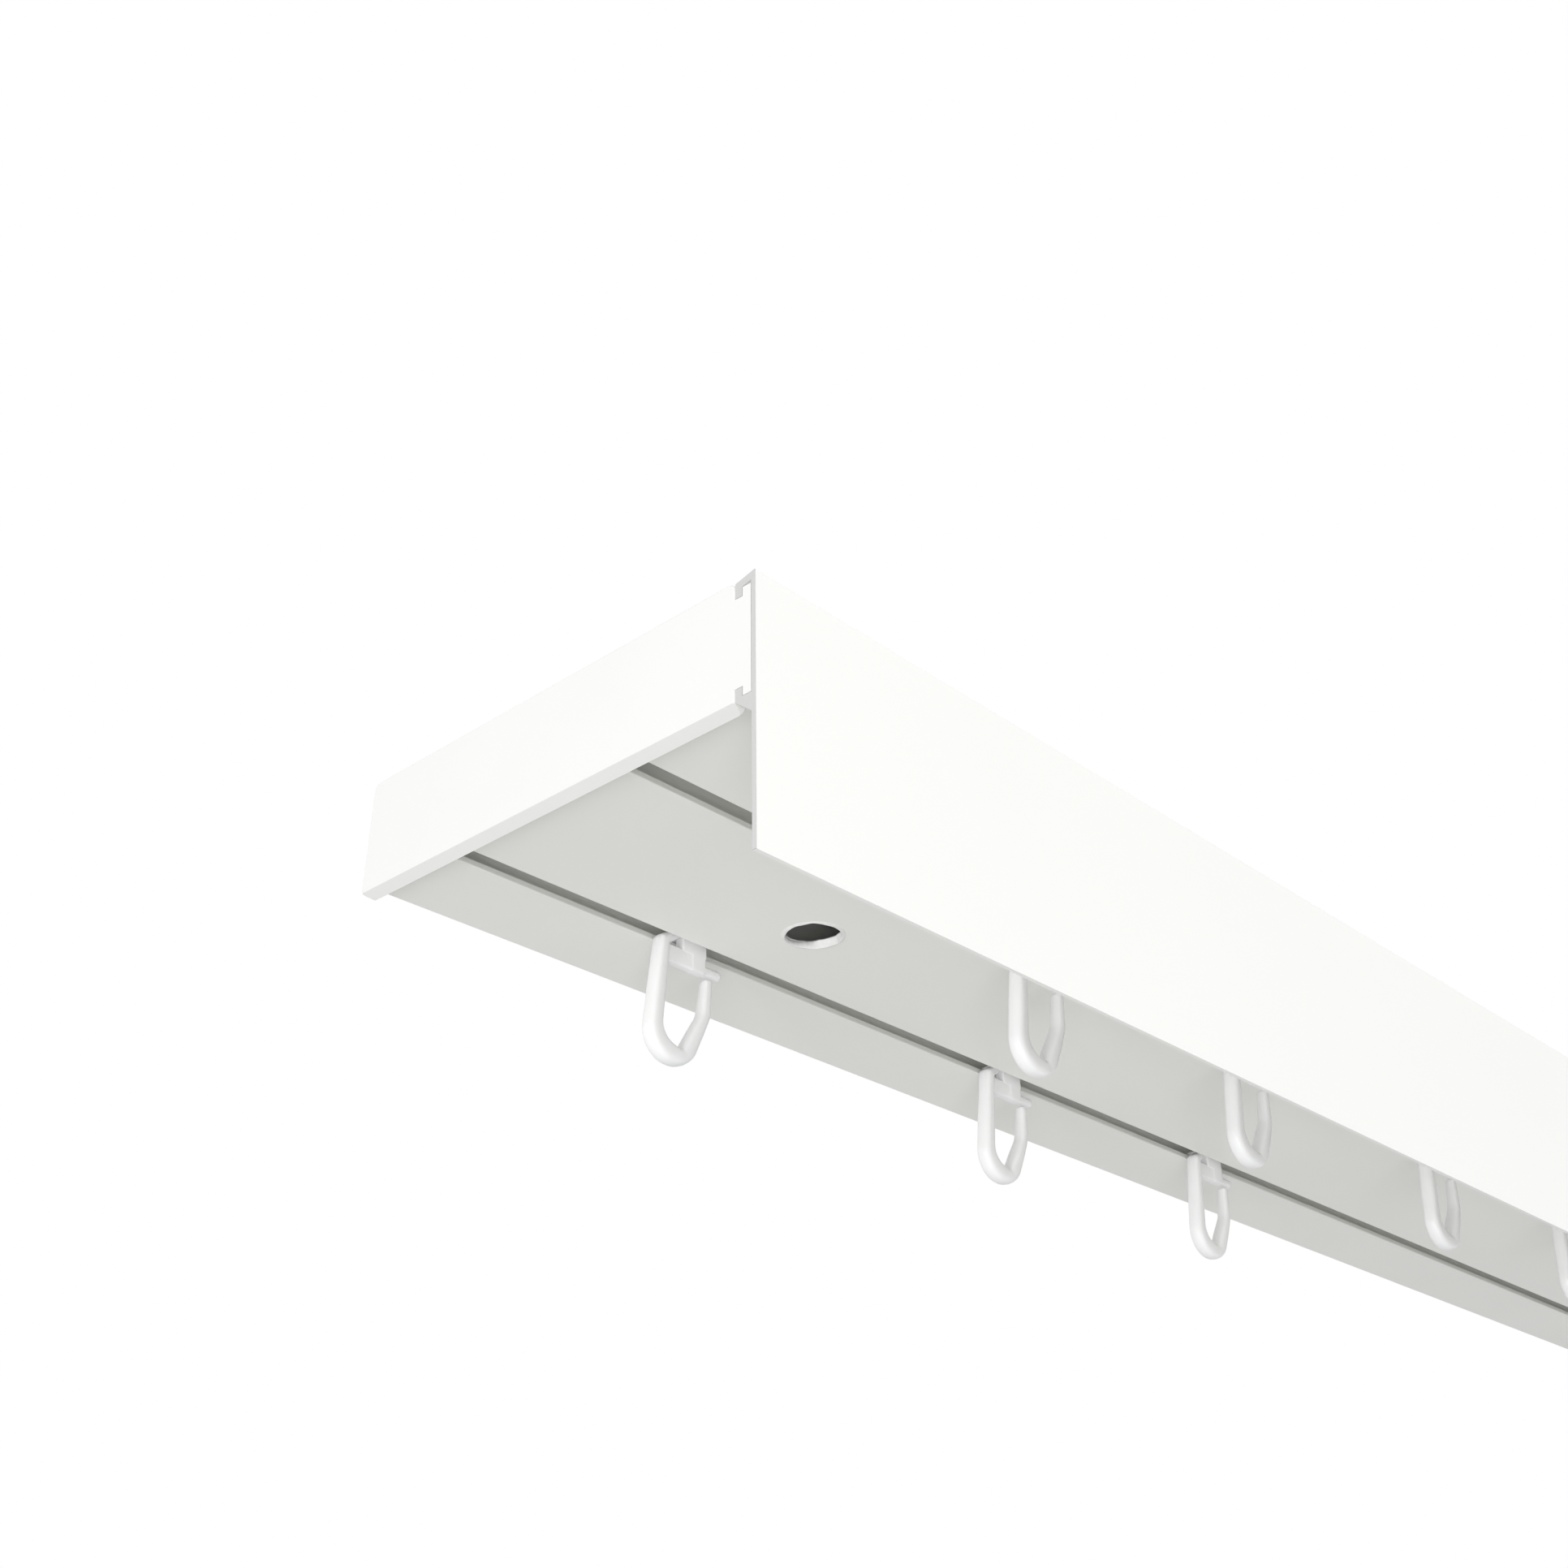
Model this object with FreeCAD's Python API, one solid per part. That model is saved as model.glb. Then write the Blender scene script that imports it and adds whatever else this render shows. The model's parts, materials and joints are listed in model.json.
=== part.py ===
"""Two-run ceiling curtain track with a clip-on fascia, end caps and loop gliders.

The track runs along X, the fascia faces -Y and +Z points up at the ceiling.
The origin is the middle of the track's top face, which lies on the ceiling.
"""
import FreeCAD, Part
import math
import os

from FreeCAD import Vector

# Track extrusion
TRACK_LENGTH = 595.0
TRACK_DEPTH = 94.0
TRACK_HEIGHT = 22.6
WALL = 1.2
OUTER_ROUND = 0.5

# Two glider runs
RUN_PITCH = 45.0
FRONT_RUN_INSET = 26.3
SLOT_WIDTH = 4.5
SLOT_ROUND = 0.25
CHANNEL_WIDTH = 12.0
CHANNEL_HEIGHT = 8.0

# Screw holes in the ceiling wall and driver holes under them
SCREW_HOLE = 4.5
DRIVER_HOLE = 11.6
SCREW_FROM_END = 70.0
SCREW_SETBACK = 1.2

# Rail that carries the fascia
CLIP_FIT = 0.1
RAIL_WALL = 1.8
RAIL_DROP = 2.5
RAIL_FOOT = 0.1

# Fascia
FASCIA_HEIGHT = 50.0
FASCIA_WALL = 0.8
CEILING_GAP = 0.2
LIP_SLOPE = 1.0
HOOK_WALL = 1.5
HOOK_CATCH = 1.7
GUSSET_SKIRT = 0.6
GUSSET_DROP = 3.4

# End caps
CAP_THICKNESS = 2.5
CAP_OVERHANG = 1.0
CAP_LEAN = 1.15
CAP_SKIRT = 1.45
CAP_TOP_DROP = 0.6
CAP_CORNER = 1.6
CAP_EDGE = 0.4
CAP_SLOPE = 0.85
PEG_LENGTH = 8.0
PEG_WALL = 1.6
PEG_FIT = 0.15

# Glider head, neck and web, measured along X from the glider's own middle
RUN_CLEARANCE = 0.3
BODY_BACK = 3.2
BODY_FRONT = 5.5
HEAD_SIDE_GAP = 1.2
HEAD_HEIGHT = 1.3
HEAD_CORNER = 2.0
HEAD_ROUND = 0.4
NECK_GAP = 1.1
NECK_BACK = 1.3
NECK_DROP = 1.2
POST_BACK = 1.0
POST_FRONT = 5.2
POST_ROUND = 0.5
WEB_THICKNESS = 1.8
WEB_DROP = 5.0
NIB_RADIUS = 1.1
NIB_END = 9.7

# Glider loop, measured from the glider's middle and the track's underside
LOOP_THICKNESS = 3.2
LOOP_DROP = 25.3
LOOP_BACK = 10.4
LOOP_FRONT = 6.9
LEG_ROOT = 0.8
LEG_ROOT_WIDTH = 3.2
SHOULDER_BACK = 7.3
SHOULDER_DROP = 0.1
SHOULDER_ROUND = 1.2
LEG_TOP_WIDTH = 2.5
LEG_TOP_ROUND = 0.8
LEG_WIDTH = 3.9
HEEL_ROUND = 6.2
SOLE_HEIGHT = 3.2
TOE_FROM_FRONT = 5.9
TOE_ROUND = 6.0
INSTEP_RISE = 1.5
INSTEP_ROUND = 4.0
CROTCH_FROM_FRONT = 8.1
CROTCH_ROUND = 0.6
FINGER_WIDTH = 2.4
FINGER_LEAN = 0.5
FINGER_BEND = 13.4
FINGER_BEND_ROUND = 5.0
FINGER_TIP_WIDTH = 1.8
FINGER_GAP = 0.4
TIP_FLAT = 0.02
LOOP_ROUND = 0.75

# Places of the gliders: the placed ones from the left cap's face, the others towards the right end
PLACED_REAR = (58.4, 159.3, 243.4)
PLACED_FRONT = (112.1, 189.0, 278.0)
PARKED_COUNT = 4
PARKED_GAP = 12.0
SPREAD_COUNT = 4
LAST_GAP = 8.0

# Limit of the modelling itself
SAME_PLACE = 1e-6

# Planes that the pieces share
FRONT_FACE = -TRACK_DEPTH / 2
BACK_FACE = TRACK_DEPTH / 2
LEFT_END = -TRACK_LENGTH / 2
UNDERSIDE = -TRACK_HEIGHT
LIP_TOP = UNDERSIDE + WALL
FRONT_RUN = FRONT_FACE + FRONT_RUN_INSET
REAR_RUN = FRONT_RUN + RUN_PITCH
SCREW_LINE = (FRONT_RUN + REAR_RUN) / 2 + SCREW_SETBACK
HOOK_BACK = FRONT_FACE - CLIP_FIT
HOOK_FRONT = HOOK_BACK - HOOK_WALL
RAIL_BACK = HOOK_FRONT - CLIP_FIT
RAIL_FRONT = RAIL_BACK - RAIL_WALL
PANEL_BACK = RAIL_FRONT - CLIP_FIT
PANEL_FRONT = PANEL_BACK - FASCIA_WALL
RAIL_TOP = -RAIL_DROP
RAIL_BOTTOM = UNDERSIDE - RAIL_FOOT
LIP_UNDER = RAIL_TOP + CLIP_FIT
LEDGE_TOP = RAIL_BOTTOM - CLIP_FIT
UPPER_HOOK_TIP = LIP_UNDER - HOOK_CATCH
LOWER_HOOK_TIP = LEDGE_TOP + HOOK_CATCH
NECK_TOP = UPPER_HOOK_TIP - CLIP_FIT
NECK_BOTTOM = LOWER_HOOK_TIP + CLIP_FIT


def block(xs, ys, zs):
    """Box between two planes on each axis."""
    return Part.makeBox(xs[1] - xs[0], ys[1] - ys[0], zs[1] - zs[0], Vector(xs[0], ys[0], zs[0]))


def corner_arc(before, corner, after, radius):
    """Arc of a radius that rounds one corner, from its first to its last point."""
    towards_before = (before - corner).normalize()
    towards_after = (after - corner).normalize()
    half_angle = towards_before.getAngle(towards_after) / 2
    reach = radius / math.tan(half_angle)
    bisector = (towards_before + towards_after).normalize()
    middle = corner + bisector * (radius / math.sin(half_angle) - radius)
    return Part.Arc(corner + towards_before * reach, middle, corner + towards_after * reach)


def rounded_face(corners):
    """Flat face inside a closed outline, given as (point, radius) pairs."""
    edges = []
    starts = []
    ends = []
    for index, (corner, radius) in enumerate(corners):
        before = corners[index - 1][0]
        after = corners[(index + 1) % len(corners)][0]
        if radius > 0:
            arc = corner_arc(before, corner, after, radius)
            edges.append(arc.toShape())
            starts.append(arc.StartPoint)
            ends.append(arc.EndPoint)
        else:
            starts.append(corner)
            ends.append(corner)
    for index, end in enumerate(ends):
        start = starts[(index + 1) % len(starts)]
        edges.append(Part.LineSegment(end, start).toShape())
    return Part.Face(Part.Wire(Part.__sortEdges__(edges)))


def rounded(shape, radius, wanted):
    """Round the edges of a shape that pass a test."""
    return shape.makeFillet(radius, [edge for edge in shape.Edges if wanted(edge)])


def runs_along_x(edge, places):
    """Whether an edge runs along X through one of some (y, z) places."""
    first, last = (vertex.Point for vertex in (edge.Vertexes[0], edge.Vertexes[-1]))
    if abs(first.y - last.y) > SAME_PLACE or abs(first.z - last.z) > SAME_PLACE:
        return False
    return any(abs(first.y - y) < SAME_PLACE and abs(first.z - z) < SAME_PLACE for y, z in places)


def lies_in(edge, axis, value):
    """Whether every end of an edge lies on a plane across one axis."""
    return all(abs(vertex.Point[axis] - value) < SAME_PLACE for vertex in edge.Vertexes)


def channel_walls(run):
    """Both inner wall planes of the channel on one run."""
    return run - CHANNEL_WIDTH / 2, run + CHANNEL_WIDTH / 2


def chambers():
    """Front and back planes of the three hollow chambers beside the runs."""
    front_low, front_high = channel_walls(FRONT_RUN)
    rear_low, rear_high = channel_walls(REAR_RUN)
    return (
        (FRONT_FACE + WALL, front_low - WALL),
        (front_high + WALL, rear_low - WALL),
        (rear_high + WALL, BACK_FACE - WALL),
    )


def screw_places():
    """Centres along X of the two screw holes."""
    distance = TRACK_LENGTH / 2 - SCREW_FROM_END
    return -distance, distance


def track_profile():
    """Extruded hollow track with two slotted runs and a rail for the fascia."""
    length = (LEFT_END, -LEFT_END)
    body = block(length, (FRONT_FACE, BACK_FACE), (UNDERSIDE, 0))
    outer_corners = [(FRONT_FACE, UNDERSIDE), (BACK_FACE, UNDERSIDE), (BACK_FACE, 0), (FRONT_FACE, 0)]
    body = rounded(body, OUTER_ROUND, lambda edge: runs_along_x(edge, outer_corners))

    cuts = [block(length, chamber, (LIP_TOP, -WALL)) for chamber in chambers()]
    slot_edges = []
    for run in (FRONT_RUN, REAR_RUN):
        walls = channel_walls(run)
        roof = LIP_TOP + CHANNEL_HEIGHT
        slot = (run - SLOT_WIDTH / 2, run + SLOT_WIDTH / 2)
        cuts.append(block(length, walls, (LIP_TOP, roof)))
        cuts.append(block(length, walls, (roof + WALL, -WALL)))
        cuts.append(block(length, slot, (UNDERSIDE, LIP_TOP)))
        slot_edges += [(side, UNDERSIDE) for side in slot]
    body = body.cut(cuts)
    body = rounded(body, SLOT_ROUND, lambda edge: runs_along_x(edge, slot_edges))

    rail = [block(length, (RAIL_FRONT, RAIL_BACK), (RAIL_BOTTOM, RAIL_TOP))]
    for low in (NECK_BOTTOM, NECK_TOP - WALL):
        rail.append(block(length, (RAIL_BACK, FRONT_FACE), (low, low + WALL)))
    body = body.fuse(rail).removeSplitter()

    holes = []
    for x in screw_places():
        holes.append(Part.makeCylinder(SCREW_HOLE / 2, WALL, Vector(x, SCREW_LINE, -WALL)))
        holes.append(Part.makeCylinder(DRIVER_HOLE / 2, WALL, Vector(x, SCREW_LINE, UNDERSIDE)))
    return body.cut(holes)


def fascia_panel():
    """Front panel with a lip and two hooks that clip over the track's rail."""
    top = -CEILING_GAP
    lip_back_top = top - LIP_SLOPE
    lip_under_front = LIP_UNDER + LIP_SLOPE * (HOOK_FRONT - PANEL_BACK) / (HOOK_BACK - PANEL_FRONT)
    gusset_back = LEDGE_TOP - GUSSET_SKIRT
    gusset_front = LEDGE_TOP - GUSSET_DROP
    bottom = top - FASCIA_HEIGHT
    outline = [
        (PANEL_FRONT, top),
        (HOOK_BACK, lip_back_top),
        (HOOK_BACK, UPPER_HOOK_TIP),
        (HOOK_FRONT, UPPER_HOOK_TIP),
        (HOOK_FRONT, LIP_UNDER),
        (PANEL_BACK, lip_under_front),
        (PANEL_BACK, LEDGE_TOP),
        (HOOK_FRONT, LEDGE_TOP),
        (HOOK_FRONT, LOWER_HOOK_TIP),
        (HOOK_BACK, LOWER_HOOK_TIP),
        (HOOK_BACK, gusset_back),
        (PANEL_BACK, gusset_front),
        (PANEL_BACK, bottom),
        (PANEL_FRONT, bottom),
    ]
    left = LEFT_END - CAP_THICKNESS
    face = rounded_face([(Vector(left, y, z), 0) for y, z in outline])
    return face.extrude(Vector(-2 * left, 0, 0))


def left_end_cap():
    """Cap plate over the track's left end, with a sloped lower edge, a rail cover and hollow pegs."""
    outer = LEFT_END - CAP_THICKNESS
    top = -CAP_TOP_DROP
    bottom = UNDERSIDE - CAP_SKIRT
    back = BACK_FACE + CAP_OVERHANG
    corners = [(FRONT_FACE, top), (back, top), (back + CAP_LEAN, bottom), (FRONT_FACE, bottom)]
    face = rounded_face([(Vector(outer, y, z), CAP_CORNER) for y, z in corners])
    plate = face.extrude(Vector(CAP_THICKNESS, 0, 0))
    plate = rounded(plate, CAP_EDGE, lambda edge: lies_in(edge, 0, outer))
    slope = [(outer, bottom), (LEFT_END, bottom), (outer, bottom + CAP_SLOPE)]
    wedge = rounded_face([(Vector(x, FRONT_FACE, z), 0) for x, z in slope])
    plate = plate.cut(wedge.extrude(Vector(0, back + CAP_LEAN - FRONT_FACE, 0)))

    depth = (outer, LEFT_END)
    additions = [
        block(depth, (RAIL_FRONT, RAIL_BACK), (RAIL_BOTTOM, RAIL_TOP)),
        block(depth, (RAIL_BACK, FRONT_FACE + CAP_CORNER), (NECK_BOTTOM, NECK_TOP)),
    ]
    peg_length = (LEFT_END, LEFT_END + PEG_LENGTH)
    for low, high in chambers():
        shell = block(peg_length, (low + PEG_FIT, high - PEG_FIT), (LIP_TOP + PEG_FIT, -WALL - PEG_FIT))
        inset = PEG_FIT + PEG_WALL
        hollow = block(peg_length, (low + inset, high - inset), (LIP_TOP + inset, -WALL - inset))
        additions.append(shell.cut(hollow))
    return plate.fuse(additions).removeSplitter()


def glider_loop(root):
    """Open loop from a root in the head: a shoulder, a thick back leg, a sole and a springy finger."""
    half_thickness = LOOP_THICKNESS / 2
    inner_sole = -LOOP_DROP + SOLE_HEIGHT
    bend_front = LOOP_FRONT - FINGER_LEAN
    finger_tip = -WEB_DROP - FINGER_GAP
    tip_round = FINGER_TIP_WIDTH / 2 - TIP_FLAT
    outline = [
        ((-BODY_BACK, root), 0),
        ((-SHOULDER_BACK, -SHOULDER_DROP), SHOULDER_ROUND),
        ((-LOOP_BACK, -LOOP_DROP), HEEL_ROUND),
        ((LOOP_FRONT - TOE_FROM_FRONT, -LOOP_DROP), TOE_ROUND),
        ((bend_front, -FINGER_BEND), FINGER_BEND_ROUND),
        ((LOOP_FRONT, finger_tip), tip_round),
        ((LOOP_FRONT - FINGER_TIP_WIDTH, finger_tip), tip_round),
        ((bend_front - FINGER_WIDTH, -FINGER_BEND), FINGER_BEND_ROUND),
        ((LOOP_FRONT - CROTCH_FROM_FRONT, inner_sole), CROTCH_ROUND),
        ((-LOOP_BACK + LEG_WIDTH, inner_sole + INSTEP_RISE), INSTEP_ROUND),
        ((-SHOULDER_BACK + LEG_TOP_WIDTH, -NECK_DROP), LEG_TOP_ROUND),
        ((-BODY_BACK + LEG_ROOT_WIDTH, root), 0),
    ]
    face = rounded_face([(Vector(x, -half_thickness, z), radius) for (x, z), radius in outline])
    loop = face.extrude(Vector(0, LOOP_THICKNESS, 0))
    sides = (-half_thickness, half_thickness)
    return rounded(loop, LOOP_ROUND, lambda edge: any(lies_in(edge, 1, side) for side in sides))


def glider():
    """One-piece glider with its middle over the origin and the track's underside at z = 0."""
    half_head = CHANNEL_WIDTH / 2 - HEAD_SIDE_GAP
    head_bottom = WALL + RUN_CLEARANCE
    head_top = head_bottom + HEAD_HEIGHT
    root = head_bottom + LEG_ROOT
    neck_sides = (-SLOT_WIDTH / 2 + NECK_GAP, SLOT_WIDTH / 2 - NECK_GAP)
    web_sides = (-WEB_THICKNESS / 2, WEB_THICKNESS / 2)

    head = block((-BODY_BACK, BODY_FRONT), (-half_head, half_head), (head_bottom, head_top))
    head = rounded(head, HEAD_CORNER, lambda edge: abs(edge.Length - HEAD_HEIGHT) < SAME_PLACE)
    head = rounded(head, HEAD_ROUND, lambda edge: lies_in(edge, 2, head_top))

    neck = block((-NECK_BACK, POST_FRONT), neck_sides, (-NECK_DROP, root))
    leg_middle = -SHOULDER_BACK + LEG_TOP_WIDTH / 2
    web = block((leg_middle, POST_FRONT), web_sides, (-WEB_DROP, -NECK_DROP))
    post = block((POST_BACK, POST_FRONT), neck_sides, (-WEB_DROP, root))
    post = rounded(post, POST_ROUND, lambda edge: lies_in(edge, 2, -WEB_DROP))

    nib_height = -WEB_DROP + NIB_RADIUS
    nib_start = (POST_BACK + POST_FRONT) / 2
    nib_middle = NIB_END - NIB_RADIUS
    nib = Part.makeCylinder(
        NIB_RADIUS, nib_middle - nib_start, Vector(nib_start, 0, nib_height), Vector(1, 0, 0)
    )
    nib_tip = Part.makeSphere(NIB_RADIUS, Vector(nib_middle, 0, nib_height))
    body = head.fuse([neck, web, post, nib, nib_tip, glider_loop(root)])
    return body.removeSplitter()


def glider_places():
    """Node name, x and y of each glider, counted from the left end of its run."""
    left_face = LEFT_END - CAP_THICKNESS
    last = -LEFT_END - LAST_GAP - NIB_END
    parked_pitch = LOOP_BACK + NIB_END + PARKED_GAP
    rear = [left_face + place for place in PLACED_REAR]
    rear += [last - parked_pitch * step for step in reversed(range(PARKED_COUNT))]
    front = [left_face + place for place in PLACED_FRONT]
    spread_pitch = (last - front[-1]) / SPREAD_COUNT
    front += [front[-1] + spread_pitch * (step + 1) for step in range(SPREAD_COUNT)]
    places = []
    for run_name, run, row in (("rear", REAR_RUN, rear), ("front", FRONT_RUN, front)):
        places += [(f"{run_name}_glider_{number}", x, run) for number, x in enumerate(row, 1)]
    return places


def pieces():
    """Every piece of the track by its name."""
    left_cap = left_end_cap()
    named = {
        "track_profile": track_profile(),
        "fascia_panel": fascia_panel(),
        "left_end_cap": left_cap,
        "right_end_cap": left_cap.mirror(Vector(0, 0, 0), Vector(1, 0, 0)),
    }
    pattern = glider()
    for name, x, y in glider_places():
        named[name] = pattern.translated(Vector(x, y, UNDERSIDE))
    return named


os.makedirs("parts", exist_ok=True)
for name, shape in pieces().items():
    shape.exportStep(f"parts/{name}.step")
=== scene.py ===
"""White ceiling curtain track with two runs: its finishes, small pieces, light and camera."""
from __future__ import annotations

import json
import logging
import math
from dataclasses import dataclass, field
from enum import Enum

import bpy
import numpy as np
from mathutils import Matrix, Vector

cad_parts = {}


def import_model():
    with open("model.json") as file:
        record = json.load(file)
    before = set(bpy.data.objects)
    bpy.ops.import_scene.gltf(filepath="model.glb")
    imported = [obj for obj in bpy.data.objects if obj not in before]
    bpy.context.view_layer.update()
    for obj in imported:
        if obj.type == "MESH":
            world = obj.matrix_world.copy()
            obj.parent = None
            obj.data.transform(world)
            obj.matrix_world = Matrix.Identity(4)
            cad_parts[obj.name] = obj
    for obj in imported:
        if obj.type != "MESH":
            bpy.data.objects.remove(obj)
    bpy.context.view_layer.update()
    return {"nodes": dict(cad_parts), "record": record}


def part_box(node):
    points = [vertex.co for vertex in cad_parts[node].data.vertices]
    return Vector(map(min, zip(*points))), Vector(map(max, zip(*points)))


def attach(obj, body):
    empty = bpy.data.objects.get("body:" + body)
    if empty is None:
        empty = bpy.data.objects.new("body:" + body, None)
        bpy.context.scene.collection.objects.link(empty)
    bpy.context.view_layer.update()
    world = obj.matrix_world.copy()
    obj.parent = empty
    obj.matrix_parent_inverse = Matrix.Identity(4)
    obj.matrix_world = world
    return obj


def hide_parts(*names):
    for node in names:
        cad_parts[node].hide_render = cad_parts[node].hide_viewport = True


log = logging.getLogger("curtain_track")

Shell = tuple[np.ndarray, list[list[int]]]

MM = 0.001
SAW_DEPTH = 0.0002
SAW_ROUGHNESS = 0.25
DRIFT_LOW, DRIFT_HIGH = 0.3, 0.7
SMUDGE_FINENESS = 3.0
SMUDGE_SHARE, GRAIN_SHARE = 0.6, 0.4
PLASTIC_IOR = 1.5
GLOW_WEIGHT = 0.3
GLOW_TINT = (1.0, 0.95, 0.9)
WHITE = (1.0, 1.0, 1.0, 1.0)
PHOTO_SIDE = 1932.0
SENSOR = 36.0


class Run(Enum):
    """The two glider runs, by the word that their nodes' names start with."""

    FRONT = "front"
    REAR = "rear"


class Wire:
    """A shader value that can be added, subtracted, multiplied and compared like a number."""

    def __init__(self, bench: Bench, socket: bpy.types.NodeSocket) -> None:
        """Wrap an output socket.

        Args:
            bench: The bench whose tree the socket belongs to.
            socket: The output socket.
        """
        self.bench = bench
        self.socket = socket

    def _math(self, operation: str, first: object, second: object) -> Wire:
        """Add one Math node and return its value."""
        return self.bench.node("ShaderNodeMath", {"operation": operation}, {0: first, 1: second})

    def __add__(self, other: object) -> Wire:
        """Sum."""
        return self._math("ADD", self, other)

    def __radd__(self, other: object) -> Wire:
        """Sum with a number in front."""
        return self._math("ADD", other, self)

    def __sub__(self, other: object) -> Wire:
        """Difference."""
        return self._math("SUBTRACT", self, other)

    def __rsub__(self, other: object) -> Wire:
        """Difference with a number in front."""
        return self._math("SUBTRACT", other, self)

    def __mul__(self, other: object) -> Wire:
        """Product."""
        return self._math("MULTIPLY", self, other)

    def __rmul__(self, other: object) -> Wire:
        """Product with a number in front."""
        return self._math("MULTIPLY", other, self)

    def size(self) -> Wire:
        """Value without its sign."""
        return self.bench.node("ShaderNodeMath", {"operation": "ABSOLUTE"}, {0: self})

    def at_least(self, other: object) -> Wire:
        """Larger of two values."""
        return self._math("MAXIMUM", self, other)


class Bench:
    """A node tree that shader nodes are laid out on."""

    def __init__(self, tree: bpy.types.NodeTree) -> None:
        """Take an empty node tree.

        Args:
            tree: The tree that the nodes go into.
        """
        self.tree = tree
        tree.nodes.clear()

    def node(
        self, kind: str, settings: dict[str, object], inputs: dict[object, object], out: object = 0
    ) -> Wire:
        """Add any node.

        Args:
            kind: The node's type name.
            settings: Attributes of the node, set first.
            inputs: Values or wires by socket name or number.
            out: Name or number of the output that is wanted.

        Returns:
            The wanted output as a wire, or the first input of a node that has no output.
        """
        made = self.tree.nodes.new(kind)
        for name, value in settings.items():
            setattr(made, name, value)
        for key, value in inputs.items():
            socket = made.inputs[key]
            if isinstance(value, Wire):
                self.tree.links.new(value.socket, socket)
            else:
                socket.default_value = value
        outputs = made.outputs
        return Wire(self, outputs[out]) if len(outputs) else Wire(self, made.inputs[0])

    def noise(self, place: Wire, scale: float, detail: float = 2.0) -> Wire:
        """Soft noise between 0 and 1 over some coordinates.

        Args:
            place: Coordinates.
            scale: Cells for each metre.
            detail: Octaves of finer noise.

        Returns:
            The noise value.
        """
        inputs = {"Vector": place, "Scale": scale, "Detail": detail}
        return self.node("ShaderNodeTexNoise", {}, inputs, "Fac")

    def stretched(self, place: Wire, scale: tuple[float, float, float]) -> Wire:
        """Coordinates that are scaled apart on each axis."""
        return self.node("ShaderNodeMapping", {}, {"Vector": place, "Scale": scale})

    def band(self, value: Wire, low: float, high: float) -> Wire:
        """Smooth step of a value from 0 at low to 1 at high."""
        inputs = {"Value": value, "From Min": low, "From Max": high}
        return self.node("ShaderNodeMapRange", {"interpolation_type": "SMOOTHSTEP"}, inputs)

    def mix(self, factor: Wire, first: object, second: object) -> Wire:
        """Colour between two colours."""
        return self.node("ShaderNodeMix", {"data_type": "RGBA"}, {0: factor, 6: first, 7: second}, 2)


@dataclass(frozen=True)
class PlasticFinish:
    """A white plastic: its colour, its gloss and the marks of how it was made."""

    name: str
    colour: tuple[float, float, float]
    shade: tuple[float, float, float]
    roughness: float
    roughness_spread: float
    grain_stretch: tuple[float, float, float]
    grain_depth: float
    ripple_scale: float
    ripple_depth: float
    cloud_scale: float = 14.0
    specular: float = 0.5
    glow_depth: float = 0.0
    cut_colour: tuple[float, float, float] | None = None

    def material(self, reach: float) -> bpy.types.Material:
        """Build the material.

        The base colour drifts between colour and shade with a broad noise. The roughness
        follows a finer noise and the grain. The bump is the grain, which is a noise
        stretched along the way the plastic was drawn or flowed, plus a slow ripple. A length
        that was sawn off has duller ends, which lie at the piece's reach on X.

        Args:
            reach: How far the piece reaches on X from the origin, in metres.

        Returns:
            The new material.
        """
        material = bpy.data.materials.new(self.name)
        material.use_nodes = True
        bench = Bench(material.node_tree)
        place = bench.node("ShaderNodeTexCoord", {}, {}, "Object")
        cloud = bench.noise(place, self.cloud_scale)
        grain = bench.noise(bench.stretched(place, self.grain_stretch), 1.0)
        ripple = bench.noise(place, self.ripple_scale, 0.0)
        smudge = bench.noise(place, self.cloud_scale * SMUDGE_FINENESS)
        drift = bench.band(cloud, DRIFT_LOW, DRIFT_HIGH)
        colour = bench.mix(drift, (*self.colour, 1.0), (*self.shade, 1.0))
        spread = bench.band(smudge, DRIFT_LOW, DRIFT_HIGH) * SMUDGE_SHARE + grain * GRAIN_SHARE
        roughness = self.roughness + self.roughness_spread * (spread - 0.5)
        if self.cut_colour:
            along = bench.node("ShaderNodeSeparateXYZ", {}, {"Vector": place}, "X").size()
            sawn = bench.band(along, reach - SAW_DEPTH, reach - SAW_DEPTH / 2)
            colour = bench.mix(sawn, colour, (*self.cut_colour, 1.0))
            roughness = roughness + sawn * SAW_ROUGHNESS
        relief = {"Strength": 1.0, "Distance": self.grain_depth, "Height": grain}
        fine = bench.node("ShaderNodeBump", {}, relief)
        relief = {"Strength": 1.0, "Distance": self.ripple_depth, "Height": ripple, "Normal": fine}
        bump = bench.node("ShaderNodeBump", {}, relief)
        inputs = {
            "Base Color": colour, "Roughness": roughness, "Normal": bump,
            "IOR": PLASTIC_IOR, "Specular IOR Level": self.specular,
            "Subsurface Weight": GLOW_WEIGHT if self.glow_depth else 0.0,
            "Subsurface Scale": self.glow_depth, "Subsurface Radius": GLOW_TINT,
        }
        plastic = bench.node("ShaderNodeBsdfPrincipled", {}, inputs)
        bench.node("ShaderNodeOutputMaterial", {}, {"Surface": plastic})
        return material


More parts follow.
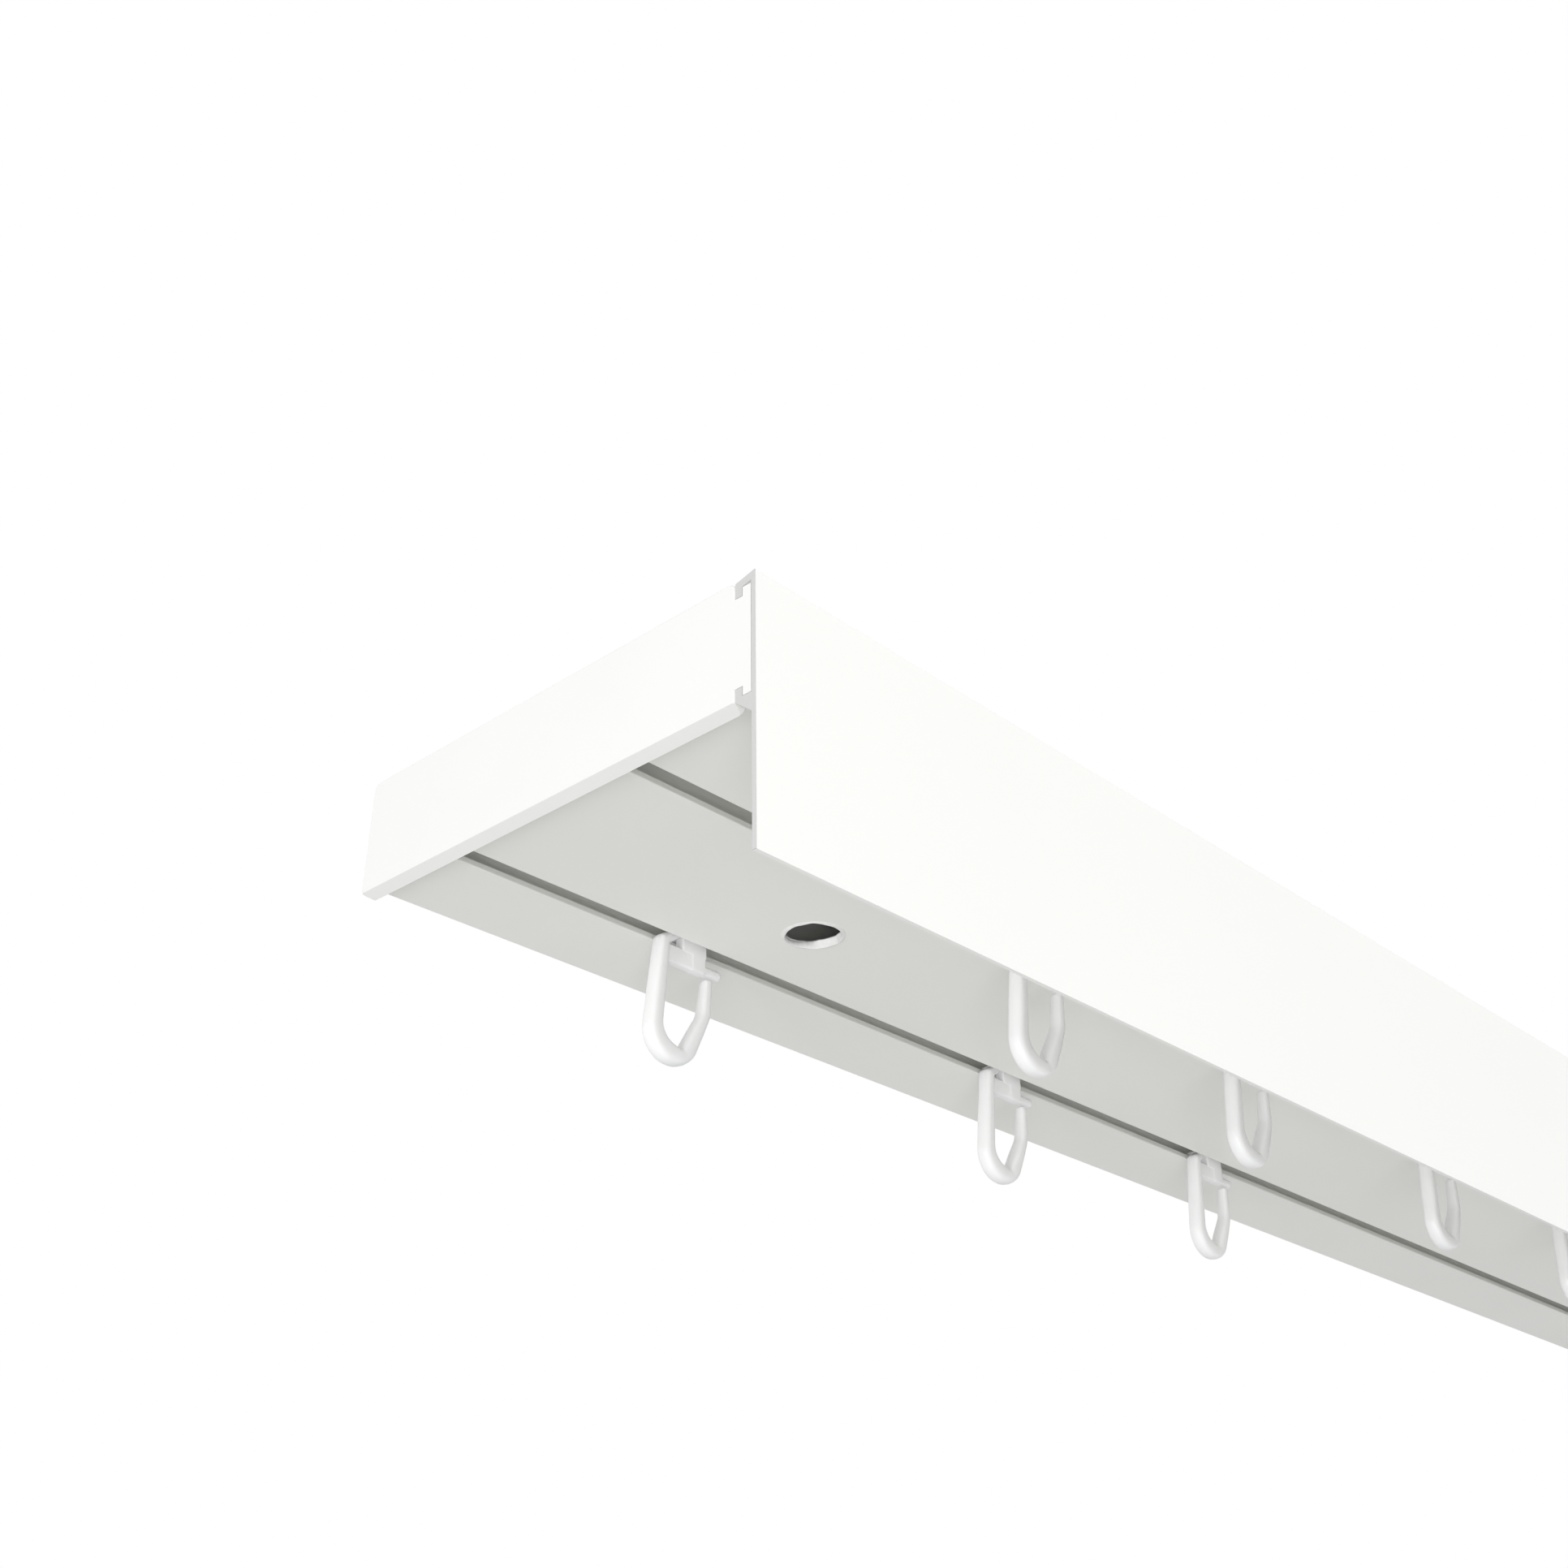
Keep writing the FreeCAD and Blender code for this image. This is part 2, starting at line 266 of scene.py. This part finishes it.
TRACK_PLASTIC = PlasticFinish(
    "extruded_track_white", colour=(0.905, 0.91, 0.87), shade=(0.89, 0.895, 0.856),
    roughness=0.30, roughness_spread=0.06, specular=0.22,
    grain_stretch=(2.0, 700.0, 700.0), grain_depth=0.000002, ripple_scale=14.0, ripple_depth=0.00002,
)
FASCIA_PLASTIC = PlasticFinish(
    "extruded_fascia_white", colour=(0.925, 0.927, 0.903), shade=(0.918, 0.92, 0.897),
    roughness=0.38, roughness_spread=0.06, specular=0.4, cut_colour=(0.605, 0.605, 0.60),
    grain_stretch=(1.5, 600.0, 600.0), grain_depth=0.000002, ripple_scale=10.0, ripple_depth=0.00002,
)
CAP_PLASTIC = PlasticFinish(
    "moulded_cap_white", colour=(0.88, 0.881, 0.864), shade=(0.871, 0.872, 0.855),
    roughness=0.45, roughness_spread=0.08, specular=0.4, cloud_scale=40.0,
    grain_stretch=(1600.0, 1600.0, 1600.0), grain_depth=0.000004, ripple_scale=60.0, ripple_depth=0.00001,
)
GLIDER_PLASTIC = PlasticFinish(
    "moulded_glider_white", colour=(0.955, 0.958, 0.96), shade=(0.94, 0.944, 0.948),
    roughness=0.36, roughness_spread=0.1, cloud_scale=90.0, glow_depth=0.0012,
    grain_stretch=(400.0, 400.0, 140.0), grain_depth=0.000004, ripple_scale=160.0, ripple_depth=0.00002,
)
BURR_PLASTIC = PlasticFinish(
    "torn_hole_edge_white", colour=(0.93, 0.93, 0.92), shade=(0.84, 0.84, 0.82),
    roughness=0.6, roughness_spread=0.2, specular=0.3, cloud_scale=400.0,
    grain_stretch=(1800.0, 1800.0, 600.0), grain_depth=0.00003, ripple_scale=300.0, ripple_depth=0.00005,
)


class Surface:
    """Closed surfaces worked out on grids, in metres. Angles in degrees."""

    ball_sides: int = 32
    ball_rise: tuple[float, ...] = (-84.0, -62.0, -42.0, -22.0, -4.0, 4.0, 22.0, 42.0, 62.0, 84.0)
    pin_sides: int = 24
    pin_dome: float = 84.0
    pin_dome_rings: int = 8

    @staticmethod
    def ring_faces(rings: int, sides: int) -> list[list[int]]:
        """Faces of a closed tube of rings, with one flat face on each end.

        Args:
            rings: How many rings lie along the tube.
            sides: How many points are on a ring.

        Returns:
            Faces as lists of point numbers, pointing outwards for rings that turn
            left about the way along the tube.
        """
        ring, side = np.meshgrid(np.arange(rings - 1), np.arange(sides), indexing="ij")
        nxt = (side + 1) % sides
        here, ahead = ring * sides, (ring + 1) * sides
        quads = np.stack([here + side, here + nxt, ahead + nxt, ahead + side], axis=-1)
        first = list(range(sides))[::-1]
        last = list(range((rings - 1) * sides, rings * sides))
        return quads.reshape(-1, 4).tolist() + [first, last]

    @staticmethod
    def soft_block(low: np.ndarray, high: np.ndarray, round_off: np.ndarray) -> Shell:
        """Box with soft edges: a small box swept by a ball that is squeezed on each axis.

        A point is the small box's corner on its side plus the ball's point in its direction.

        Args:
            low: Lowest corner.
            high: Highest corner.
            round_off: The ball's radius on each axis.

        Returns:
            Points and faces.
        """
        around = (np.arange(Surface.ball_sides) + 0.5) * (2 * math.pi / Surface.ball_sides)
        rise = np.radians(np.array(Surface.ball_rise))
        lift, turn = np.meshgrid(rise, around, indexing="ij")
        ball = np.stack([np.cos(lift) * np.cos(turn), np.cos(lift) * np.sin(turn), np.sin(lift)], axis=-1)
        middle = (low + high) / 2
        inner = (high - low) / 2 - round_off
        points = middle + np.sign(ball) * inner + ball * round_off
        return points.reshape(-1, 3), Surface.ring_faces(len(rise), len(around))

    @staticmethod
    def pin(start: np.ndarray, length: float, radius: float) -> Shell:
        """Pin along X with a domed end: circles whose radius closes as a quarter circle.

        Args:
            start: Centre of the flat end.
            length: Length with the dome.
            radius: The pin's radius.

        Returns:
            Points and faces.
        """
        dome = np.radians(np.linspace(0.0, Surface.pin_dome, Surface.pin_dome_rings))
        along = np.concatenate([[0.0], length - radius + radius * np.sin(dome)])
        size = np.concatenate([[radius], radius * np.cos(dome)])
        around = np.arange(Surface.pin_sides) * (2 * math.pi / Surface.pin_sides)
        points = np.stack(
            [
                np.repeat(along[:, None], len(around), axis=1),
                size[:, None] * np.cos(around)[None, :],
                size[:, None] * np.sin(around)[None, :],
            ],
            axis=-1,
        )
        return (points + start).reshape(-1, 3), Surface.ring_faces(len(along), len(around))

    @staticmethod
    def rounded_line(corners: np.ndarray, radii: np.ndarray, steps: int) -> np.ndarray:
        """Open line through corners, with an arc of the given radius at each inner corner.

        An arc's points turn at even steps about its centre, which lies on the corner's bisector.

        Args:
            corners: Points in a plane.
            radii: Arc radius at each corner; those of the ends are not used.
            steps: Points on each arc.

        Returns:
            The line's points.
        """
        corner, before, after = corners[1:-1], corners[:-2], corners[2:]
        radius = radii[1:-1, None]
        back = (before - corner) / np.linalg.norm(before - corner, axis=1, keepdims=True)
        ahead = (after - corner) / np.linalg.norm(after - corner, axis=1, keepdims=True)
        half = np.arccos(np.clip((back * ahead).sum(axis=1, keepdims=True), -1.0, 1.0)) / 2
        bisector = (back + ahead) / np.linalg.norm(back + ahead, axis=1, keepdims=True)
        centre = corner + bisector * radius / np.sin(half)
        share = np.linspace(-1.0, 1.0, steps)[None, :, None]
        angle = share * (math.pi / 2 - half)[:, None, :]
        sideways = (ahead - back) / np.linalg.norm(ahead - back, axis=1, keepdims=True)
        arcs = (
            centre[:, None, :]
            - bisector[:, None, :] * radius[:, None, :] * np.cos(angle)
            + sideways[:, None, :] * radius[:, None, :] * np.sin(angle)
        )
        return np.concatenate([corners[:1], arcs.reshape(-1, corners.shape[1]), corners[-1:]])


class Shop:
    """Makes objects, joins closed surfaces and puts finishes on."""

    def __init__(self) -> None:
        """Start with no materials made."""
        self._materials: dict[str, bpy.types.Material] = {}

    def finish(self, plastic: PlasticFinish, reach: float) -> bpy.types.Material:
        """Material of a finish, made once for the first piece that has it.

        Args:
            plastic: The finish.
            reach: How far that piece reaches on X from the origin, in metres.

        Returns:
            The material.
        """
        if plastic.name not in self._materials:
            self._materials[plastic.name] = plastic.material(reach)
        return self._materials[plastic.name]

    def dress(self, piece: bpy.types.Object, plastic: PlasticFinish) -> None:
        """Put one finish on a whole object.

        Args:
            piece: The object.
            plastic: The finish.
        """
        reach = max(corner[0] for corner in piece.bound_box)
        piece.data.materials.clear()
        piece.data.materials.append(self.finish(plastic, reach))

    @staticmethod
    def piece(name: str, points: np.ndarray, faces: list[list[int]]) -> bpy.types.Object:
        """Object from points and faces.

        Args:
            name: The object's name.
            points: Points in metres.
            faces: Faces as lists of point numbers.

        Returns:
            The object, at the origin.
        """
        mesh = bpy.data.meshes.new(name)
        mesh.from_pydata(points.tolist(), [], faces)
        mesh.update()
        made = bpy.data.objects.new(name, mesh)
        bpy.context.scene.collection.objects.link(made)
        return made

    @staticmethod
    def smooth(mesh: bpy.types.Mesh, crease: float) -> None:
        """Shade a mesh smooth, with edges over an angle left sharp.

        Args:
            mesh: The mesh.
            crease: The angle in degrees.
        """
        mesh.polygons.foreach_set("use_smooth", np.ones(len(mesh.polygons), dtype=bool))
        mesh.set_sharp_from_angle(angle=math.radians(crease))
        mesh.update()

    def united(self, name: str, shells: list[Shell]) -> bpy.types.Mesh:
        """One closed mesh around overlapping closed shells.

        Args:
            name: Name of the mesh.
            shells: Points and faces of each shell.

        Returns:
            The mesh.
        """
        objects = [self.piece(f"{name}_{number}", *shell) for number, shell in enumerate(shells)]
        base = objects[0]
        for other in objects[1:]:
            joint = base.modifiers.new("joint", "BOOLEAN")
            joint.operation = "UNION"
            joint.solver = "EXACT"
            joint.object = other
        graph = bpy.context.evaluated_depsgraph_get()
        mesh = bpy.data.meshes.new_from_object(base.evaluated_get(graph))
        mesh.name = name
        for made in objects:
            old = made.data
            bpy.data.objects.remove(made)
            bpy.data.meshes.remove(old)
        return mesh


@dataclass
class Glider:
    """One-piece moulded glider: head, neck, post, web, nib and an open loop. Sizes in millimetres.

    Lengths along X are from the glider's own middle, heights from the track's underside. Each
    soft value says how far a block's edges are rounded on each axis. Angles are in degrees.
    """

    head: tuple[float, float, float, float] = (-3.2, 5.5, 1.5, 2.8)
    head_width: float = 9.6
    head_soft: tuple[float, float, float] = (2.0, 2.0, 0.4)
    neck: tuple[float, float, float, float] = (-1.3, 5.2, -1.2, 2.3)
    neck_width: float = 2.3
    neck_sink: float = 0.6
    neck_soft: tuple[float, float, float] = (0.4, 0.4, 0.3)
    post_back: float = 1.0
    post_soft: tuple[float, float, float] = (0.8, 0.5, 0.6)
    web_back: float = -6.05
    web_front_gap: float = 0.5
    web_width: float = 2.0
    web_drop: float = 5.0
    web_lift: float = 0.1
    web_soft: tuple[float, float, float] = (0.3, 0.5, 0.4)
    nib_radius: float = 1.1
    nib_end: float = 9.7
    sides: int = 48
    sections: int = 200
    dome_sections: int = 12
    dome_end: float = 86.0
    arc_points: int = 24
    squareness: float = 2.9
    fullness: float = 1.06
    depth_extra: float = 0.3
    depth_limits: tuple[float, float] = (1.0, 1.8)
    seam_height: float = 0.04
    seam_spread: float = 0.12
    crease: float = 38.0
    outer: tuple[tuple[float, float, float], ...] = (
        (-3.2, 2.3, 0.0), (-7.3, -0.1, 1.2), (-10.4, -25.3, 6.2),
        (1.0, -25.3, 6.0), (6.4, -13.4, 5.0), (6.9, -5.4, 0.0),
    )
    inner: tuple[tuple[float, float, float], ...] = (
        (0.0, 2.3, 0.0), (-4.8, -1.2, 0.8), (-6.5, -20.6, 4.0),
        (-1.2, -22.1, 0.6), (4.0, -13.4, 5.0), (5.1, -5.4, 0.0),
    )

    def loop(self) -> Shell:
        """Loop as a soft section carried between the outer and the inner outline.

        Both outlines have the same number of points, so a pair of them gives the section's
        centre and half width, and the half depth grows with it. The sections lie at even
        lengths of the centre line and close over the finger's tip as a quarter circle. Each
        is a superellipse, a little fuller than the outlines, with a thin seam on its middle line.

        Returns:
            Points and faces.
        """
        outer, inner = (
            Surface.rounded_line(corners[:, :2], corners[:, 2], self.arc_points)
            for corners in (np.array(self.outer), np.array(self.inner))
        )
        pairs = np.concatenate([(outer + inner) / 2, (outer - inner) / 2], axis=1)
        steps = np.linalg.norm(np.diff(pairs[:, :2], axis=0), axis=1)
        length = np.concatenate([[0.0], np.cumsum(steps)])
        tip = np.linalg.norm(pairs[-1, 2:])
        dome = np.radians(np.linspace(0.0, self.dome_end, self.dome_sections))
        even = np.linspace(0.0, length[-1] - tip, self.sections, endpoint=False)
        along = np.concatenate([even, length[-1] - tip + tip * np.sin(dome)])
        closing = np.concatenate([np.ones_like(even), np.cos(dome)])
        centre_x, centre_z, across_x, across_z = (
            np.interp(along, length, column)[:, None] for column in pairs.T
        )
        half_width = np.hypot(across_x, across_z)
        half_depth = np.clip(half_width + self.depth_extra, *self.depth_limits)
        turn = np.arange(self.sides) * (2 * math.pi / self.sides)
        power = self.squareness
        radius = (np.abs(np.cos(turn)) ** power + np.abs(np.sin(turn)) ** power) ** (-1 / power)
        wide, deep = radius * np.cos(turn), radius * np.sin(turn)
        seam = 1.0 + self.seam_height / half_width * np.exp(-((np.sin(turn) / self.seam_spread) ** 2))
        spread = self.fullness * wide * seam * closing[:, None]
        sideways = deep * closing[:, None] * half_depth
        points = np.stack([centre_x + across_x * spread, sideways, centre_z + across_z * spread], axis=-1)
        faces = [face[::-1] for face in Surface.ring_faces(len(along), self.sides)]
        return points.reshape(-1, 3) * MM, faces

    @staticmethod
    def block(
        along: tuple[float, float], width: float, heights: tuple[float, float], soft: tuple[float, ...]
    ) -> Shell:
        """Soft block on the glider's middle plane.

        Args:
            along: Its ends on X.
            width: Its width on Y.
            heights: Its lowest and highest level.
            soft: How far its edges are rounded on each axis.

        Returns:
            Points and faces.
        """
        low = np.array([along[0], -width / 2, heights[0]]) * MM
        high = np.array([along[1], width / 2, heights[1]]) * MM
        return Surface.soft_block(low, high, np.array(soft) * MM)

    def shells(self) -> list[Shell]:
        """Neck, head, web, post, nib and loop as closed shells."""
        back, front, floor, root = self.neck
        inside = (self.post_back + front) / 2
        nib_start = np.array([inside, 0.0, self.nib_radius - self.web_drop]) * MM
        nib_length = self.nib_end - inside
        web_ends = (self.web_back, front - self.web_front_gap)
        web_levels = (-self.web_drop + self.web_lift, floor)
        return [
            self.block((back, front), self.neck_width, (floor - self.neck_sink, root), self.neck_soft),
            self.block(self.head[:2], self.head_width, self.head[2:], self.head_soft),
            self.block(web_ends, self.web_width, web_levels, self.web_soft),
            self.block((self.post_back, front), self.neck_width, (-self.web_drop, root), self.post_soft),
            Surface.pin(nib_start, nib_length * MM, self.nib_radius * MM),
            self.loop(),
        ]


class GliderSet:
    """All gliders of both runs, each in place of its plain solid."""

    def __init__(self, shop: Shop, glider: Glider) -> None:
        """Mould the pattern once.

        Args:
            shop: Makes the meshes and finishes.
            glider: The glider's sizes.
        """
        self.shop = shop
        self.glider = glider
        self.pattern = shop.united("glider_pattern", glider.shells())
        shop.smooth(self.pattern, glider.crease)

    def place(self, run: Run, nodes: list[str]) -> None:
        """Put a glider where each node of one run is.

        Args:
            run: The run.
            nodes: Names of every node of the frame.
        """
        for node in sorted(name for name in nodes if name.startswith(f"{run.value}_glider_")):
            low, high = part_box(node)
            middle = high.x - self.glider.nib_end * MM
            underside = high.z - self.glider.head[3] * MM
            mesh = self.pattern.copy()
            mesh.transform(Matrix.Translation(Vector((middle, (low.y + high.y) / 2, underside))))
            piece = bpy.data.objects.new(f"{node}_moulding", mesh)
            bpy.context.scene.collection.objects.link(piece)
            self.shop.dress(piece, GLIDER_PLASTIC)
            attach(piece, node)
            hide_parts(node)
            log.info("%s stands for %s", piece.name, node)


@dataclass
class DriverHoleEdge:
    """Torn edge of the hand-drilled driver holes in the track's underside.

    Sizes are in millimetres, angles in degrees. Each row of the section is one of its points. The
    first five values are its place beyond the hole's edge and the shares of rim, burst, tear and
    curl in it. The last three are its height and the shares of wall and curl in that.
    """

    hole_radius: float = 5.8
    wall: float = 1.2
    rail_foot: float = 0.1
    tears: int = 240
    waves: tuple[int, ...] = (3, 5, 8, 13, 22, 37)
    burst: float = 0.38
    burst_step: float = 5.0
    burst_turn: float = -45.0
    rim: float = 0.34
    notch_turn: float = 222.0
    notch_width: float = 11.0
    fade: float = 0.7
    first_seed: int = 10
    seed_step: int = 7
    crease: float = 50.0
    section: tuple[tuple[float, ...], ...] = (
        (0.55, 0.0, 0.0, 0.0, 0.08, 0.06, 0.0, 0.0),
        (0.32, 0.0, 0.0, 0.08, 0.0, -0.12, 0.0, -0.03),
        (0.02, -1.0, 0.0, -0.10, 0.0, -0.20, 0.0, -0.05),
        (-0.16, -1.0, 0.0, -0.12, 0.0, 0.02, 0.0, 0.0),
        (-0.24, -1.0, 0.0, -0.16, 0.0, 0.60, 0.0, 0.06),
        (0.0, 0.0, -1.0, -0.34, 0.0, -0.08, 1.0, 0.10),
        (0.2, 0.0, -1.0, -0.28, 0.0, 0.22, 1.0, 0.06),
        (0.3, 0.0, 0.0, 0.0, 0.0, 0.1, 1.0, 0.0),
    )

    def ragged(self, seed: int, turn: np.ndarray) -> np.ndarray:
        """Uneven value round the hole: waves with seeded phases, each weaker as it is finer.

        Args:
            seed: Seed of the phases.
            turn: Angles round the hole.

        Returns:
            The value at each angle.
        """
        draws = np.random.default_rng(seed).uniform(0.0, 2 * math.pi, len(self.waves))
        waves = np.array(self.waves, dtype=float)
        swing = np.sin(waves[:, None] * turn[None, :] + draws[:, None])
        return (swing / waves[:, None] ** self.fade).sum(axis=0)

    def ring(self, centre: np.ndarray, seed: int) -> Shell:
        """Sleeve of torn plastic: an eight-point section round the hole, uneven inside.

        The section goes from a low lip on the underside up the hole's wall to a ragged
        inner edge, and back through the wall. Two uneven values move its points. The inner
        edge stands in on the half that the drill broke through last, with a steep step (a
        hyperbolic tangent of the cosine) at both ends of it, and the lip stands in round a
        narrow notch, which is a bell curve of the angle.

        Args:
            centre: Centre of the hole on the underside, in metres.
            seed: Seed of the unevenness.

        Returns:
            Points and faces.
        """
        turn = np.arange(self.tears) * (2 * math.pi / self.tears)
        tear = self.ragged(seed, turn)
        curl = self.ragged(seed + 1, turn)
        even = np.ones_like(turn)
        last = np.cos(turn - math.radians(self.burst_turn))
        burst = self.burst * (1 + np.tanh(self.burst_step * last))
        away = np.angle(np.exp(1j * (turn - math.radians(self.notch_turn))))
        notch = np.exp(-((away / math.radians(self.notch_width)) ** 2))
        rim = self.rim * (1 - notch) * (1 + np.cos(away)) / 2
        section = np.array(self.section)
        radius = self.hole_radius + np.stack([even, rim, burst, tear, curl], axis=1) @ section[:, :5].T
        height = np.stack([even, self.wall * even, curl], axis=1) @ section[:, 5:].T
        points = np.stack([radius * np.cos(turn)[:, None], radius * np.sin(turn)[:, None], height], axis=-1)
        count = len(section)
        ring, side = np.meshgrid(np.arange(self.tears), np.arange(count), indexing="ij")
        nxt, over = (ring + 1) % self.tears, (side + 1) % count
        here, ahead = ring * count, nxt * count
        quads = np.stack([here + side, ahead + side, ahead + over, here + over], axis=-1)
        return points.reshape(-1, 3) * MM + centre, quads.reshape(-1, 4)[:, ::-1].tolist()

    def build(self, shop: Shop, mounts: list[dict[str, object]]) -> None:
        """Put a torn edge at both driver holes, which lie under the ceiling screws.

        Args:
            shop: Makes the meshes and finishes.
            mounts: The frame's record of what the track is fixed by.
        """
        screws = next(mount for mount in mounts if mount["kind"] == "bolt_pattern")
        reach = screws["dims"]["spacing_x_mm"] / 2 * MM
        low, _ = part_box("track_profile")
        underside = low.z + self.rail_foot * MM
        for number, (name, side) in enumerate((("left", -1.0), ("right", 1.0))):
            centre = np.array([screws["pos_m"][0] + side * reach, screws["pos_m"][1], underside])
            seed = self.first_seed + number * self.seed_step
            piece = shop.piece(f"{name}_driver_hole_edge", *self.ring(centre, seed))
            shop.smooth(piece.data, self.crease)
            shop.dress(piece, BURR_PLASTIC)
            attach(piece, "track")
            log.info("%s lies round a hole of the track", piece.name)


@dataclass
class Extrusions:
    """The drawn and moulded pieces that keep their own solids and get a finish."""

    finishes: dict[str, PlasticFinish] = field(
        default_factory=lambda: {
            "track_profile": TRACK_PLASTIC,
            "fascia_panel": FASCIA_PLASTIC,
            "left_end_cap": CAP_PLASTIC,
            "right_end_cap": CAP_PLASTIC,
        }
    )

    def dress(self, shop: Shop, nodes: dict[str, bpy.types.Object]) -> None:
        """Put the finishes on.

        Args:
            shop: Makes the finishes.
            nodes: The frame's objects by name.
        """
        for name, plastic in self.finishes.items():
            shop.dress(nodes[name], plastic)
            log.info("%s is dressed in %s", name, plastic.name)


@dataclass(frozen=True)
class Softbox:
    """Large round soft lamp. Sizes in metres, power in watts."""

    name: str
    place: tuple[float, float, float]
    target: tuple[float, float, float]
    size: float
    power: float

    def build(self) -> None:
        """Make the lamp; it lights the object and stays unseen itself."""
        lamp = bpy.data.lights.new(self.name, "AREA")
        lamp.shape = "DISK"
        lamp.size = self.size
        lamp.energy = self.power
        holder = bpy.data.objects.new(self.name, lamp)
        holder.location = self.place
        aim = Vector(self.target) - Vector(self.place)
        holder.rotation_euler = aim.to_track_quat("-Z", "Y").to_euler()
        holder.visible_camera = False
        bpy.context.scene.collection.objects.link(holder)


@dataclass
class Studio:
    """Plain pale floor, white surroundings and soft light. Sizes in metres."""

    floor_height: float = -1.2
    floor_reach: float = 60.0
    floor_shade: float = 0.56
    floor_glow: float = 0.50
    fill: float = 0.71
    softboxes: tuple[Softbox, ...] = (
        Softbox("front_softbox", (-0.1, -2.1, -0.02), (0.0, 0.0, -0.02), 1.6, 14.3),
        Softbox("side_softbox", (-1.32, -0.11, -0.28), (-0.1, 0.0, -0.02), 0.5, 4.2),
        Softbox("key_softbox", (-1.17, -0.80, -0.84), (-0.15, 0.0, -0.03), 0.8, 6.3),
    )

    @staticmethod
    def looked_at(bench: Bench) -> Wire:
        """1 where the floor or the surroundings are looked at, straight, mirrored or through.

        Args:
            bench: The bench of the floor's or the surroundings' nodes.

        Returns:
            The value.
        """
        seen = bench.node("ShaderNodeLightPath", {}, {}, "Is Camera Ray")
        glossy = bench.node("ShaderNodeLightPath", {}, {}, "Is Glossy Ray")
        through = bench.node("ShaderNodeLightPath", {}, {}, "Is Transmission Ray")
        return seen.at_least(glossy).at_least(through)

    def floor(self) -> None:
        """Wide pale floor, brighter where it is looked at."""
        reach = self.floor_reach
        corners = np.array([[-1, -1, 0], [1, -1, 0], [1, 1, 0], [-1, 1, 0]], dtype=float) * reach
        floor = Shop.piece("studio_floor", corners + np.array([0, 0, self.floor_height]), [[0, 1, 2, 3]])
        material = bpy.data.materials.new("studio_floor_pale")
        material.use_nodes = True
        bench = Bench(material.node_tree)
        shade = self.floor_shade
        matte = bench.node("ShaderNodeBsdfDiffuse", {}, {"Color": (shade, shade, shade, 1.0)})
        glow = bench.node("ShaderNodeEmission", {}, {"Strength": self.looked_at(bench) * self.floor_glow})
        both = bench.node("ShaderNodeAddShader", {}, {0: matte, 1: glow})
        bench.node("ShaderNodeOutputMaterial", {}, {"Surface": both})
        floor.data.materials.append(material)

    def surroundings(self) -> None:
        """World that is white to look at and gives an even fill light."""
        world = bpy.data.worlds.new("studio_white")
        bpy.context.scene.world = world
        world.use_nodes = True
        bench = Bench(world.node_tree)
        fill = (self.fill, self.fill, self.fill, 1.0)
        colour = bench.mix(self.looked_at(bench), fill, WHITE)
        light = bench.node("ShaderNodeBackground", {}, {"Color": colour, "Strength": 1.0})
        bench.node("ShaderNodeOutputWorld", {}, {"Surface": light})

    def build(self) -> None:
        """Set up floor, surroundings and lamps."""
        self.floor()
        self.surroundings()
        for softbox in self.softboxes:
            softbox.build()


@dataclass
class PhotoCamera:
    """Camera at the photograph's viewpoint: below the track, in front of its left end.

    Angles are in degrees, places in metres.
    """

    focal_pixels: float = 2450.0
    azimuth: float = -47.06
    elevation: float = -29.24
    roll: float = -0.73
    place: tuple[float, float, float] = (-0.4866, -0.2308, -0.1844)
    nearest: float = 0.01
    farthest: float = 60.0

    def build(self) -> None:
        """Make the camera and use it."""
        data = bpy.data.cameras.new("photo_camera")
        data.sensor_width = SENSOR
        data.lens = self.focal_pixels / PHOTO_SIDE * SENSOR
        data.clip_start = self.nearest
        data.clip_end = self.farthest
        camera = bpy.data.objects.new("photo_camera", data)
        turn, rise, roll = (math.radians(angle) for angle in (self.azimuth, self.elevation, self.roll))
        back = Vector((math.sin(turn) * math.cos(rise), -math.cos(turn) * math.cos(rise), math.sin(rise)))
        level = (-back).cross(Vector((0.0, 0.0, 1.0))).normalized()
        upright = level.cross(-back)
        right = math.cos(roll) * level + math.sin(roll) * upright
        up = -math.sin(roll) * level + math.cos(roll) * upright
        axes = Matrix((right, up, back)).transposed()
        camera.matrix_world = Matrix.Translation(Vector(self.place)) @ axes.to_4x4()
        bpy.context.scene.collection.objects.link(camera)
        bpy.context.scene.camera = camera


def main() -> None:
    """Build the track's looks piece by piece, then the light and the camera."""
    logging.basicConfig(level=logging.INFO, format="%(name)s: %(message)s")
    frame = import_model()
    bpy.context.scene.view_settings.view_transform = "Standard"
    shop = Shop()
    Extrusions().dress(shop, frame["nodes"])
    gliders = GliderSet(shop, Glider())
    for run in Run:
        gliders.place(run, list(frame["nodes"]))
    DriverHoleEdge().build(shop, frame["record"]["mounts"])
    Studio().build()
    PhotoCamera().build()


if __name__ == "__main__":
    main()
